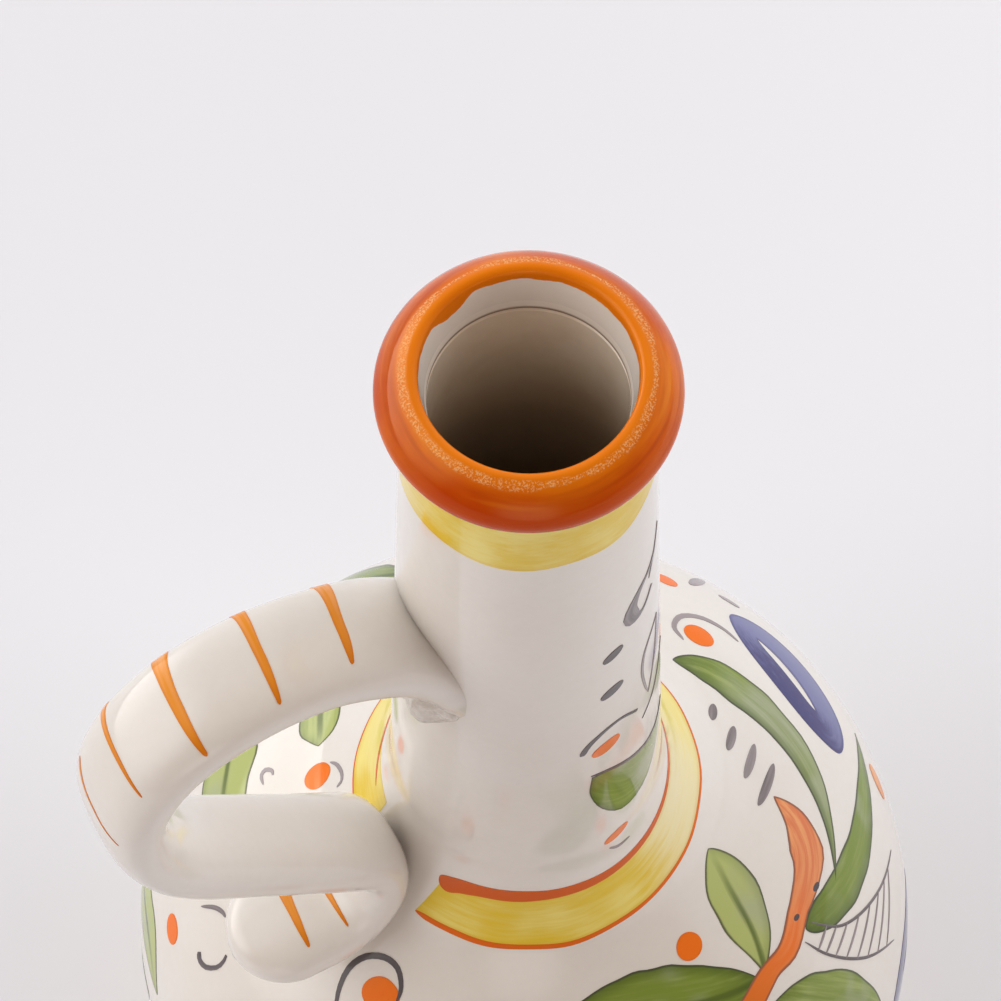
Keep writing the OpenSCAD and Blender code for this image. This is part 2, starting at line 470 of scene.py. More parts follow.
def makeRimGlaze():
    m = startFinish("orangeGlaze")
    where = m.where()
    x, y, z = m.split(where)
    radius = m.calc("SQRT", m.plus(m.times(x, x), m.times(y, y)))
    drift = m.rise(m.cloud(85, 3.0, 0.6), 0.32, 0.68)
    streaks = m.rise(m.cloud(90, 3.0, 0.6, (1, 1, 7)), 0.3, 0.7)
    colour = m.coat(rim["orange"], rim["bright"], drift, 0.6)
    colour = m.coat(colour, rim["brown"], streaks, 0.22)
    # brush marks that run round the rim, without a seam
    turnX, turnY = m.calc("DIVIDE", x, radius), m.calc("DIVIDE", y, radius)
    around = m.node("CombineXYZ", {0: turnX, 1: turnY, 2: m.times(radius, rim["brush"])})[0]
    hairs = {"Vector": around, "W": m.times(z, rim["brush"]), "Scale": 1.0, "Detail": 2.0}
    marks = m.node("TexNoise", hairs, noise_dimensions="4D")["Fac"]
    colour = m.coat(colour, rim["red"], m.rise(marks, 0.5, 0.72), 0.6)
    colour = m.coat(colour, rim["pale"], m.fall(marks, 0.28, 0.46), 0.5)
    # painted shade, deeper on the lower part of one side; bright over the inner lip; painted shadow, brown,
    # along the lower edge
    # painted shade: the lower part of the rim is a deeper orange on one side
    deep = m.times(m.fall(z, *rim["sideShadeHeights"]), m.rise(m.dot(around, rim["shadedSide"]), 0.1, 0.95))
    colour = m.coat(colour, rim["deep"], deep, 0.85)
    colour = m.coat(colour, rim["bright"], m.fall(radius, *rim["inwardRadii"]), 0.8)
    # painted shadow: the lower edge of the rim turns brown
    low = m.fall(z, *rim["edgeShadowHeights"])
    colour = m.coat(colour, rim["brown"], low, 0.75)
    # painted highlight along the crest: a broken pale line of specks
    crestAt, crestDrift = rim["crest"]
    crest = m.calc("ABSOLUTE", m.minus(radius, m.plus(crestAt, m.times(m.cloud(60), crestDrift))))
    least, more = rim["glintWidth"]
    width = m.plus(m.times(m.rise(m.cloud(120), 0.34, 0.56), more), least)
    near = m.fall(m.calc("DIVIDE", crest, width), 0.4, 1.0)
    glintSpecks = m.rise(m.cloud(4600, 2.0, 0.7), 0.46, 0.62)
    glint = m.times(m.times(near, glintSpecks), m.rise(z, *rim["upperHeights"]))
    colour = m.coat(colour, rim["crestGlint"], glint, 0.62)
    # below the lip the throat is cream, but for one place where the orange ran down
    a = radians(rim["runAzimuth"])
    spot = (rim["runRadius"] * cos(a), rim["runRadius"] * sin(a), rim["runHeight"])
    gap = m.node("VectorMath", {0: where, 1: spot}, operation="DISTANCE")["Value"]
    ran = m.times(m.fall(gap, *rim["runSpread"]), rim["runDown"])
    ragged = m.times(m.minus(m.cloud(420, 3.0), 0.5), rim["ragged"])
    unpainted = m.fall(m.plus(m.plus(z, ran), ragged), *rim["paintHeights"])
    throat = m.fall(radius, *rim["throatRadii"])
    colour = m.mix(m.times(throat, unpainted), colour, creamColour(m))
    # painted shade: a thin dark line in the step where the throat meets the bore
    colour = m.mix(m.times(m.fall(z, *rim["stepShadeHeights"]), throat), colour, rim["step"])
    rough = {"Value": m.calc("MAXIMUM", glint, low), "To Min": rim["rough"][0], "To Max": rim["rough"][1]}
    return m.shade({
        "Base Color": colour,
        "Roughness": m.node("MapRange", rough)["Result"],
        "IOR": rim["ior"],
        "Specular IOR Level": rim["specular"],
        "Specular Tint": rim["sheen"],
        "Normal": rippled(m, rim["ripple"]),
    })


def makeRim():
    bore, seat, crown, sink = bottle["bore"], bottle["seat"], rim["crown"], rim["sink"]
    mid = rim["top"] - rim["height"] / 2
    lipC = Vector((rim["mouth"] + rim["lip"], rim["top"] - rim["lip"]))
    noseC = Vector((rim["out"] - rim["nose"], mid))
    # the crown touches the lip's arc and the nose's arc
    fromLip, fromNose = crown - rim["lip"], crown - rim["nose"]
    gap = (noseC - lipC).length
    ahead = (noseC - lipC) / gap
    along = (fromLip**2 - fromNose**2 + gap**2) / (2 * gap)
    crownC = lipC + ahead * along + Vector((ahead.y, -ahead.x)) * sqrt(fromLip**2 - along**2)
    crownTop = degrees(atan2(lipC.y - crownC.y, lipC.x - crownC.x))
    crownEnd = degrees(atan2(noseC.y - crownC.y, noseC.x - crownC.x))
    underZ = 2 * mid - crownC.y

    def offNeck(turn):
        a = radians(turn)
        return crownC.x + crown * cos(a) - neckRadius(underZ - crown * sin(a))

    # the lower crown ends where it meets the neck
    meet = crownEnd
    while offNeck(meet) > -sink:
        meet += 0.1
    bm = bmesh.new()
    v = first = bm.verts.new((bore, 0, seat))
    v = runLine(bm, v, (rim["mouth"], lipC.y), 8)
    v = runArc(bm, v, lipC, crownTop - 180, 10)
    v = runArc(bm, v, crownC, crownEnd - crownTop, 12)
    v = runArc(bm, v, noseC, -2 * crownEnd, 14)
    v = runArc(bm, v, (crownC.x, underZ), crownEnd - meet, 9)
    v = runLine(bm, v, (neckRadius(seat) - sink, seat - sink / 2), 1)
    v = runLine(bm, v, (bore, seat), 1)
    bmesh.ops.pointmerge(bm, verts=[v, first], merge_co=first.co)
    turnProfile(bm)
    for p in bm.verts:
        pressIn(p)
    return makePiece(bm, "rimGlaze", makeRimGlaze(), ("rim_ring",))


makeRim()
print("rim turned")


handle = {
    "root": (13.0, 162.0),
    "climb": 67.0, "lead": 6.0, "width": 14.2, "lowWidth": 13.4, "tailWidth": 14.9,
    "lowDrift": 0.4, "tailDrift": 1.4, "thick": 7.8, "full": 2.5, "spread": 3.0,
    "spreadRun": 22.0,
    # size, turn in degrees and steps of each bend; a turn of 0 is a straight piece
    "bends": [
        (26.0, -53.5, 22), (16.5, -101.0, 36), (34.5, -42.0, 20),
        (30.0, 0, 18), (8.2, 136.0, 34), (3.4, 0, 3),
    ],
    "sides": 48, "tip": 12, "tipTurn": 86, "intoNeck": 1.6, "neckAbove": 140,
    "handWork": (0.24, 9.0, 0.07),
}


def bendLength(size, turn):
    return size if turn == 0 else size * abs(radians(turn))


def strapStation(run):
    # place (reach, height) and heading of the strap's centre line
    reach, z = handle["root"]
    heading = radians(handle["climb"])
    if run < 0:
        return reach + run * cos(heading), z + run * sin(heading), heading
    for size, turn, _ in handle["bends"]:
        go = min(run, bendLength(size, turn))
        if turn == 0:
            reach, z = reach + go * cos(heading), z + go * sin(heading)
        else:
            side = copysign(size, turn)
            after = heading + copysign(go / size, turn)
            reach += side * (sin(after) - sin(heading))
            z += side * (cos(heading) - cos(after))
            heading = after
        run -= go
        if run <= 1e-9:
            break
    return reach, z, heading


strapRuns = [0.0]
for size, turn, _ in handle["bends"]:
    strapRuns.append(strapRuns[-1] + bendLength(size, turn))
strapEnd = strapRuns[-1]


def alongStrap(run, first, low, last):
    # a value that changes over the third bend, and again over the curl
    a = min(1.0, max(0.0, (run - strapRuns[2]) / (strapRuns[3] - strapRuns[2])))
    b = min(1.0, max(0.0, (run - strapRuns[4]) / (strapRuns[5] - strapRuns[4])))
    return first + (low - first) * a + (last - low) * b * b * (3 - 2 * b)


def strapWidth(run):
    spread = handle["spread"] * max(0.0, 1 - max(0.0, run) / handle["spreadRun"]) ** 2
    return alongStrap(run, handle["width"], handle["lowWidth"], handle["tailWidth"]) + spread


def full(v):
    return copysign(abs(v) ** (2 / handle["full"]), v)


def strapFrame(run, widthScale=1.0, thickScale=1.0, ahead=0.0):
    reach, z, heading = strapStation(run)
    forward = Vector((-cos(heading), 0, sin(heading)))
    left = Vector((sin(heading), 0, cos(heading)))
    drift = alongStrap(run, 0.0, handle["lowDrift"], handle["tailDrift"])
    place = Vector((-reach, -drift, z)) + forward * ahead
    across = Vector((0, strapWidth(run) / 2 * widthScale, 0))
    m = Matrix.Identity(4)
    for i, axis in enumerate((across, left * handle["thick"] / 2 * thickScale, forward, place)):
        for k in range(3):
            m[k][i] = axis[k]
    return m


def tipFrame(angle):
    # the rounded end of the tail
    ahead = handle["tailWidth"] / 2 * sin(angle)
    return strapFrame(strapEnd, cos(angle), sqrt(cos(angle)), ahead)


def onStrap(run, angle, lift=0.0):
    # angle in degrees: 0 is the middle of the outer face, positive towards +Y
    m = strapFrame(run)
    if run > strapEnd:
        m = tipFrame(asin(min(0.99, (run - strapEnd) / handle["tailWidth"] * 2)))
    sa, ca = sin(radians(angle)), cos(radians(angle))
    base = m @ Vector((full(sa), full(ca), 0))
    k = 2 - 2 / handle["full"]
    out = m.col[0].to_3d().normalized() * copysign(abs(sa) ** k, sa) / strapWidth(run)
    out += m.col[1].to_3d().normalized() * copysign(abs(ca) ** k, ca) / handle["thick"]
    return base + out.normalized() * (lift + handWork(base, handle["handWork"]))


def strapMetric(run, angle):
    # millimetres for one unit of run and for one degree round the section
    ahead = (onStrap(run + 0.5, angle) - onStrap(run - 0.5, angle)).length
    step = (onStrap(run, angle + 2) - onStrap(run, angle - 2)).length / 4
    return max(ahead, 0.2), max(step, 0.02)


def makeHandle():
    bm = bmesh.new()
    ring = bmesh.ops.create_circle(bm, cap_ends=False, segments=handle["sides"], radius=1.0)["verts"]
    for v in ring:
        v.co = Vector((full(v.co.x), full(v.co.y), 0))
    stations = [strapFrame(-handle["lead"] * k / 5) for k in (5, 4, 3, 2, 1)]
    for (size, turn, steps), run in zip(handle["bends"], strapRuns):
        stations += [strapFrame(run + bendLength(size, turn) * k / steps) for k in range(steps)]
    tip = handle["tip"]
    stations += [tipFrame(radians(handle["tipTurn"]) * k / tip) for k in range(tip + 1)]
    bmesh.ops.transform(bm, matrix=stations[0], verts=bm.verts[:])
    edges = firstEdges = bm.edges[:]
    for old, new in zip(stations, stations[1:]):
        made = bmesh.ops.extrude_edge_only(bm, edges=edges)["geom"]
        grown = [g for g in made if isinstance(g, bmesh.types.BMVert)]
        bmesh.ops.transform(bm, matrix=new @ old.inverted(), verts=grown)
        edges = [g for g in made if isinstance(g, bmesh.types.BMEdge) and g.is_boundary]
    bmesh.ops.holes_fill(bm, edges=edges, sides=0)
    bmesh.ops.holes_fill(bm, edges=firstEdges, sides=0)
    bmesh.ops.recalc_face_normals(bm, faces=bm.faces[:])
    bm.normal_update()
    for v in bm.verts:
        v.co += v.normal * handWork(v.co, handle["handWork"])
        # what lies inside the neck stops within its wall
        r = hypot(v.co.x, v.co.y)
        least = neckRadius(v.co.z) - handle["intoNeck"]
        if v.co.z > handle["neckAbove"] and r < least:
            v.co.x, v.co.y = v.co.x * least / r, v.co.y * least / r
    return makePiece(bm, "handleStrap", makeCreamGlaze(), ("handle",))


makeHandle()
print("handle drawn:", round(strapEnd, 1), "mm of strap")


rootSlip = {
    "height": 157.2, "tall": 4.8, "thick": 2.7, "wide": 16.4, "into": 0.2,
    "rings": 64, "sides": 36,
    "lumps": (1.3, 0.4),  # broad ones, and the share of fine ones on them
    "grain": 2.7, "finer": 2.3,
}


def makeRootSlip():
    # a thumbed roll of slip that wraps the neck under the strap
    bm = bmesh.new()
    rings, sides, grain = rootSlip["rings"], rootSlip["sides"], rootSlip["grain"]
    broad, fine = rootSlip["lumps"]
    for v in bmesh.ops.create_uvsphere(bm, u_segments=rings, v_segments=sides, radius=1.0)["verts"]:
        c = v.co.copy()
        z = rootSlip["height"] + c.z * rootSlip["tall"]
        a = c.y * rootSlip["wide"] / 2 / neckRadius(z)
        r = neckRadius(z) - rootSlip["into"] + c.x * rootSlip["thick"]
        out = Vector((-cos(a), -sin(a), 0))
        p = out * r + Vector((0, 0, z))
        lump = noise.noise(p / grain) + fine * noise.noise(p * rootSlip["finer"] / grain)
        v.co = p + out * lump * broad * max(0.0, c.x)
    bmesh.ops.recalc_face_normals(bm, faces=bm.faces[:])
    return makePiece(bm, "rootSlip", makeSlipGlaze(), ("root_slip",))


makeRootSlip()
print("slip pressed in")


# painted ornament: thin strips of colour that lie on the glaze, one piece for each colour

def glazeMetric(azimuth, run):
    # millimetres for one degree round the bottle and for one unit down it
    return outline(run)[0] * pi / 180, 1.0


def alongCurve(points, t):
    # smooth curve through the points, t from 0 to 1
    if len(points) == 2:
        return Vector(points[0]).lerp(Vector(points[1]), t)
    p = [2 * Vector(points[0]) - Vector(points[1])] + [Vector(q) for q in points]
    p.append(2 * p[-1] - p[-2])
    k = min(int(t * (len(points) - 1)), len(points) - 2)
    s = t * (len(points) - 1) - k
    a, b, c, d = p[k : k + 4]
    return 0.5 * (2 * b + (c - a) * s + (2 * a - 5 * b + 4 * c - d) * s**2 + (3 * b - a - 3 * c + d) * s**3)


def setDown(t, run, power=0.5):
    return min(1.0, (t / run) ** power)


def liftOff(t):
    return min(1.0, ((1 - t) / 0.03) ** 0.5)


def thinning(t, least, run, power):
    return least + (1 - least) * max(0.0, 1 - t / run) ** power


def wave(t, lean, power):
    # widest where t to the power of lean is a half
    return sin(pi * t**lean) ** power


def dropShape(t):
    tail = 1 - 0.68 * max(0.0, (t - 0.4) / 0.6) ** 1.4
    return setDown(t, 0.05) * thinning(t, 0.62, 0.5, 1.1) * tail * liftOff(t)


def branchShape(t):
    slim = 0.5 * min(1.0, max(0.0, (t - 0.26) / 0.16))
    return setDown(t, 0.24, 0.75) * (1 - slim + 0.06 * sin(17 * t))


# share of the full half width along a stroke
strokeShapes = {
    "dash": lambda t: sqrt(max(0.0, 1 - (2 * t - 1) ** 2)),
    "drop": dropShape,
    "leaf": lambda t: wave(t, 0.9, 0.8),
    "ovate": lambda t: wave(t, 1.35, 0.72),
    "blade": lambda t: wave(t, 0.66, 0.95),
    "dryBlade": lambda t: wave(t, 0.74, 0.95),
    "line": lambda t: (0.55 + 0.45 * sin(pi * t)) * max(0.0, 1 - (2 * t - 1) ** 8) ** 0.5,
    "curl": lambda t: 0.22 + 0.78 * wave(min(1.0, t / 0.86), 1.7, 2),
    "hook": lambda t: min(1.0, 0.6 + 6 * t) * (0.35 + 0.65 * (1 - t) ** 0.8),
    "round": lambda t: setDown(t, 0.012) * thinning(t, 0.30, 0.6, 1.3) * liftOff(t),
    "ring": lambda t: (1 - max(0.0, 1 - t / 0.036) ** 2) ** 0.5 * thinning(t, 0.25, 0.45, 1.2) * liftOff(t),
    "branch": branchShape,
}

# millimetres, as far as they are lengths
brush = {
    "strapStep": 0.6, "least": 0.04, "shake": 0.12, "bandColumns": 240,
    "bandStep": 1.2, "ringRows": 7, "bandSeam": 150.0,
    "slantRun": 12,  # the slant is lost over one part in so many of the arc
    "patchGrid": (26, 14),
    "patchLength": 14.0,
    "petalGrid": (64, 6),
    "petalPoint": 0.25, "seed": 3.7, "thick": 0.2,
}


class Paint:
    # collects the strokes of one colour in one mesh
    def __init__(self, lift):
        self.bm = bmesh.new()
        self.lift = lift
        self.count = 0
        self.brush = self.bm.verts.layers.float_vector.new("brush")
        self.stroke = self.bm.verts.layers.float_vector.new("stroke")
        self.vein = self.bm.verts.layers.float.new("vein")

    def sheet(self, columns, rows, place, closed=False, vein=0.0, weld=0.0):
        # a grid laid by place(t, q), which gives the point, the half width, the length and the tone
        self.count += 1
        new = bmesh.ops.create_grid(self.bm, x_segments=columns, y_segments=rows, size=1.0)["verts"]
        for v in new:
            t, q = (v.co.x + 1) / 2, v.co.y
            point, half, length, tone = place(t, q)
            v.co = point
            if closed:
                t = 0.5 - 0.5 * cos(2 * pi * t)
            v[self.brush] = (t, q, half)
            v[self.stroke] = (length, tone, self.count * brush["seed"])
            v[self.vein] = vein
        if closed or weld:
            bmesh.ops.remove_doubles(self.bm, verts=new, dist=weld or 0.01)

    def strip(self, points, width, shape, tone, vein=0.0, surface=onGlaze, metric=glazeMetric, step=0.9):
        # a stroke along the points; metric gives the millimetres of one unit each way on the surface
        half = strokeShapes[shape]
        samples = [alongCurve(points, k / 30) for k in range(31)]
        length = 0.0
        for a, b in zip(samples, samples[1:]):
            mu, mv = metric(*a)
            length += hypot((b - a).x * mu, (b - a).y * mv)

        def place(t, q):
            s = (1 - cos(pi * t)) / 2
            here = alongCurve(points, s)
            ahead = alongCurve(points, min(1.0, s + 0.01)) - alongCurve(points, max(0.0, s - 0.01))
            mu, mv = metric(*here)
            along = Vector((ahead.x * mu, ahead.y * mv)).normalized()
            shaky = 1 + brush["shake"] * noise.noise((s * length / 4, 1.2 * q, brush["seed"] * self.count))
            h = max(brush["least"], width / 2 * shaky * half(min(0.999999, max(0.000001, s))))
            spot = (here.x + along.y * h * q / mu, here.y - along.x * h * q / mv)
            return surface(spot[0], spot[1], self.lift), h, length, tone

        columns = max(14, min(160, int(length / step) + 8))
        self.sheet(columns, max(2, min(12, int(width / step) + 1)), place, vein=vein)

    def arc(self, start, end, top, bottom, tone, rows, slant=0.0):
        # round the bottle; top and bottom give the run at an azimuth, and tone the depth of colour
        def place(t, q):
            azimuth = start + (end - start) * t
            a, b = top(azimuth), bottom(azimuth)
            # running backwards keeps the face outwards
            run = (a + b) / 2 - q * (b - a) / 2
            azimuth -= slant * (1 - q) / 2 * max(0.0, 1 - t * brush["slantRun"])
            return onGlaze(azimuth, run, self.lift), (b - a) / 2, 2 * pi * outline(run)[0], tone(azimuth)

        self.sheet(brush["bandColumns"], rows, place, closed=end - start == 360)

    def band(self, top, bottom, tone):
        # all the way round
        rows = max(2, int((bottom(0) - top(0)) / brush["bandStep"]))
        self.arc(brush["bandSeam"], brush["bandSeam"] + 360, top, bottom, tone, rows)

    def patch(self, top, bottom, tone):
        # a shape between two curves that share their ends
        def place(t, q):
            s = (1 - cos(pi * t)) / 2
            a, b = alongCurve(top, s), alongCurve(bottom, s)
            mu, mv = glazeMetric(*a)
            half = hypot((b - a).x * mu, (b - a).y * mv) / 2
            spot = a.lerp(b, (1 - q) / 2)
            return onGlaze(spot.x, spot.y, self.lift), max(brush["least"], half), brush["patchLength"], tone

        self.sheet(*brush["patchGrid"], place, weld=0.002)

    def ring(self, centre, outer, inner, shift, tilt):
        # an oval with an oval hole, sizes in millimetres
        mu, mv = glazeMetric(*centre)
        ct, st = cos(radians(tilt)), sin(radians(tilt))

        def place(t, q):
            a = 2 * pi * t
            s = (1 + q) / 2
            x = (inner[0] + (outer[0] - inner[0]) * s) * cos(a) + shift[0] * (1 - s)
            y = (inner[1] + (outer[1] - inner[1]) * s) * sin(a) + shift[1] * (1 - s)
            # pointed at both ends, as a petal is
            y *= 1 - brush["petalPoint"] * cos(a) ** 6
            u, v = x * ct - y * st, x * st + y * ct
            half = (outer[1] - inner[1]) / 2
            shade = 0.5 - 0.5 * sin(a + 0.5)
            spot = onGlaze(centre[0] + u / mu, centre[1] + v / mv, self.lift)
            return spot, half, 2 * pi * outer[0], shade

        self.sheet(*brush["petalGrid"], place, closed=True)

    def finish(self, name, material, slot):
        bm = self.bm
        bm.normal_update()
        bmesh.ops.solidify(bm, geom=bm.faces[:], thickness=brush["thick"])
        bmesh.ops.recalc_face_normals(bm, faces=bm.faces[:])
        return makePiece(bm, name, material, ())


paints = {
    "fibre": (0.16, 1.5),  # stretch of the brush's streaks along and across a stroke
    "specular": 0.34,
    "yellow": {
        "lift": 0.03,
        "rich": (0.78, 0.55, 0.030, 1),
        "thin": (0.865, 0.73, 0.20, 1),
        "faint": (0.87, 0.78, 0.47, 1),
        "edge": (0.70, 0.44, 0.03, 1),
        "sheen": (1.0, 0.85, 0.55, 1),
    },
    "green": {
        "lift": 0.045,
        "deep": (0.075, 0.115, 0.018, 1),
        "mid": (0.20, 0.275, 0.040, 1),
        "light": (0.46, 0.52, 0.175, 1),
        "grey": (0.41, 0.44, 0.31, 1),
        "line": (0.055, 0.06, 0.04, 1),
    },
    "blue": {
        "lift": 0.05,
        "pale": (0.155, 0.165, 0.36, 1),
        "deep": (0.045, 0.04, 0.17, 1),
    },
    "orange": {
        "lift": 0.06,
        "bright": (0.92, 0.185, 0.016, 1),
        "amber": (0.82, 0.285, 0.022, 1),
        "salmon": (0.90, 0.44, 0.19, 1),
        "deep": (0.62, 0.15, 0.004, 1),
        "red": (0.66, 0.100, 0.002, 1),
        "stem": (0.67, 0.235, 0.13, 1),
        "line": (0.20, 0.10, 0.08, 1),
        "sheen": (1.0, 0.6, 0.3, 1),
    },
    "ink": {
        "lift": 0.075,
        "dark": (0.095, 0.08, 0.085, 1),
        "wash": (0.36, 0.31, 0.315, 1),
    },
}


class PaintFinish(Finish):
    # knows where a point lies in its stroke: t along it, q across it from -1 to 1
    def __init__(self, name):
        super().__init__(bpy.data.materials.new(name))
        self.t, self.q, half = self.split(self.attribute("brush"))
        length, self.tone, seed = self.split(self.attribute("stroke"))
        self.across = self.times(self.q, half)
        self.edge = self.times(half, self.minus(1.0, self.calc("ABSOLUTE", self.q)))
        along, aside = paints["fibre"]
        down = self.times(self.times(self.t, length), along)
        hairs = self.node("CombineXYZ", {0: down, 1: self.times(self.across, aside), 2: seed})[0]
        inputs = {"Vector": hairs, "Scale": 1.0, "Detail": 3.0, "Roughness": 0.55}
        self.streak = self.node("TexNoise", inputs)["Fac"]

    def streaked(self, value, share):
        # a value that the brush's hairs raise and lower
        return self.plus(value, self.times(self.minus(self.streak, 0.5), share))


def yellowColour(m, c):
    cloud = m.rise(m.cloud(70), 0.36, 0.62)
    dense = m.plus(m.times(m.streak, 0.6), m.plus(m.times(cloud, 0.45), m.times(m.tone, 0.5)))
    colour = m.mix(m.rise(dense, 0.48, 1.08), c["thin"], c["rich"])
    faint = m.fall(m.plus(m.tone, m.times(m.streak, 0.3)), 0.05, 0.5)
    colour = m.mix(faint, colour, c["faint"])
    return m.coat(colour, c["edge"], m.fall(m.edge, 0.15, 0.9), 0.35)


def greenColour(m, c):
    vein = m.attribute("vein", "Fac")
    colour = m.mix(m.rise(m.streaked(m.tone, 0.9), 0.15, 0.85), c["mid"], c["light"])
    # a grey wash where the brush ran dry, most of all on the long blade
    dry = m.times(m.rise(m.cloud(90), 0.5, 0.68), m.rise(m.t, 0.28, 0.46))
    colour = m.coat(colour, c["grey"], dry, 0.6)
    gone = m.minus(m.rise(m.t, 0.38, 0.46), m.rise(m.t, 0.54, 0.76))
    colour = m.coat(colour, c["grey"], m.times(gone, vein), m.times(m.streak, -1.2))
    # deep paint where the brush was set down, and along one side
    start = m.fall(m.plus(m.t, m.times(m.streak, 0.25)), 0.1, 0.55)
    colour = m.coat(colour, c["deep"], start, m.minus(0.95, m.times(m.tone, 0.75)))
    shade = m.fall(m.plus(m.edge, m.times(m.rise(m.q, -0.2, 0.6), 1.2)), 0.25, 1.9)
    colour = m.coat(colour, c["deep"], shade, m.minus(0.7, m.times(m.tone, 0.45)))
    rib = m.fall(m.calc("ABSOLUTE", m.streaked(m.across, 0.6)), 0.12, 0.75)
    rib = m.times(rib, m.times(vein, m.fall(m.t, 0.45, 0.95)))
    colour = m.coat(colour, c["deep"], rib, 0.8)
    return m.coat(colour, c["line"], m.fall(m.edge, 0.14, 0.42), 0.8)


def blueColour(m, c):
    colour = m.mix(m.rise(m.streaked(m.tone, 0.7), 0.25, 1.0), c["pale"], c["deep"])
    return m.coat(colour, c["deep"], m.fall(m.edge, 0.15, 0.7), 0.55)


def orangeColour(m, c):
    # tone -1 is a deep line, 0 a flat dab, 1 a long stroke thin at its start, 2 an outlined stem
    long = m.minus(m.rise(m.tone, 0.3, 0.9), m.rise(m.tone, 1.1, 1.6))
    colour = m.mix(long, c["bright"], c["amber"])
    colour = m.mix(m.fall(m.tone, -0.9, -0.3), colour, c["red"])
    stem = m.rise(m.tone, 1.2, 1.6)
    dull = m.minus(0.75, m.times(m.rise(m.t, 0.36, 0.55), 0.5))
    colour = m.coat(colour, c["stem"], stem, dull)
    drawnOut = m.calc("MINIMUM", m.tone, 1.0)
    thin = m.times(m.times(m.rise(m.streak, 0.36, 0.66), drawnOut), m.fall(m.t, 0.1, 0.75))
    colour = m.coat(colour, c["salmon"], thin, 0.8)
    colour = m.coat(colour, c["deep"], m.times(m.rise(m.t, 0.45, 0.95), drawnOut), 0.7)
    colour = m.coat(colour, c["deep"], m.fall(m.edge, 0.05, 0.35), 0.35)
    return m.coat(colour, c["line"], m.times(m.fall(m.edge, 0.14, 0.42), stem), 0.8)


def inkColour(m, c):
    return m.mix(m.rise(m.streaked(m.tone, 0.8), 0.2, 1.0), c["dark"], c["wash"])


# paint shader and material slot of each colour
paintKinds = {
    "yellow": (yellowColour, "cream_glaze"),
    "green": (greenColour, "cream_glaze"),
    "blue": (blueColour, "cream_glaze"),
    "orange": (orangeColour, "orange_glaze"),
    "ink": (inkColour, "cream_glaze"),
}


def makePaint(name):
    m, c = PaintFinish(name + "Paint"), paints[name]
    gloss = {"Specular IOR Level": paints["specular"], "Specular Tint": c.get("sheen", (1, 1, 1, 1))}
    return m.shade({**glazed(m, paintKinds[name][0](m, c)), **gloss})


# what is painted, as (azimuth, run) points down the outline, widths in millimetres
# stroke rows: colour and shape, width, tone, points
bands = {
    "neckTop": 3.2, "neckBottom": 14.3, "ringTop": 102.2, "ringBottom": 110.5,
    "ringStart": -152.5, "ringEnd": 168.0, "baseTop": 208.0, "baseBottom": 215.0,
    "wobble": 0.4, "neckJoin": -45.0, "slant": 6.0,
}

neckSpray = [
    ("ink line", 0.36, 0.5, [(-41, 25.5), (-45, 28.5), (-50, 31.4), (-53.5, 33.6)]),
    ("ink curl", 2.4, 0.55, [(-46, 29.5), (-54, 31.4), (-63, 32.8), (-68.6, 35.4), (-66, 38.0),
        (-59, 38.6), (-50.5, 36.6)]),
    ("ink dash", 1.9, 0.25, [(-85.0, 42.8), (-79.5, 42.1), (-74.0, 41.6)]),
    ("ink dash", 2.0, 0.25, [(-86.2, 52.0), (-80, 51.4), (-73.9, 51.0)]),
    ("ink line", 0.5, 0.6, [(-44, 47.6), (-52, 48.8), (-58.5, 51.0), (-60.5, 55.0), (-58, 60.0),
        (-55.2, 63.5)]),
    ("ink line", 0.4, 0.8, [(-44, 47.6), (-46.5, 54), (-50.5, 59.5), (-55.2, 63.5)]),
    ("ink line", 0.5, 0.5, [(-34, 60), (-42, 63.2), (-50, 66.2), (-60.5, 68.2)]),
    ("ink hook", 1.0, 0.2, [(-95.4, 64.8), (-93.2, 63.3), (-89, 61.9), (-82, 60.9), (-74, 61.2),
        (-64.5, 63.6)]),
    ("orange dash", 2.7, 0.0, [(-90.4, 66.5), (-83.3, 65.8), (-76.2, 65.0)]),
    ("ink line", 0.6, 0.2, [(-91.0, 71.9), (-84, 72.7), (-76.2, 74.0), (-66, 75.8), (-56, 77.2),
        (-46, 77.6), (-36, 76.4)]),
    ("orange dash", 2.0, 0.3, [(-84.2, 95.0), (-77.5, 94.4), (-71.0, 94.0)]),
    ("ink line", 0.5, 0.9, [(-82, 96.9), (-77.5, 98.0), (-71, 98.2)]),
]

# olive: upper and lower edge
olive = [
    [(-90.6, 72.4), (-83, 72.9), (-74, 74.4), (-63, 76.2), (-50, 77.4), (-35, 76.6)],
    [(-90.6, 72.4), (-91.4, 77.5), (-84.5, 84.0), (-72, 88.4), (-54, 86.8), (-35, 76.6)],
]

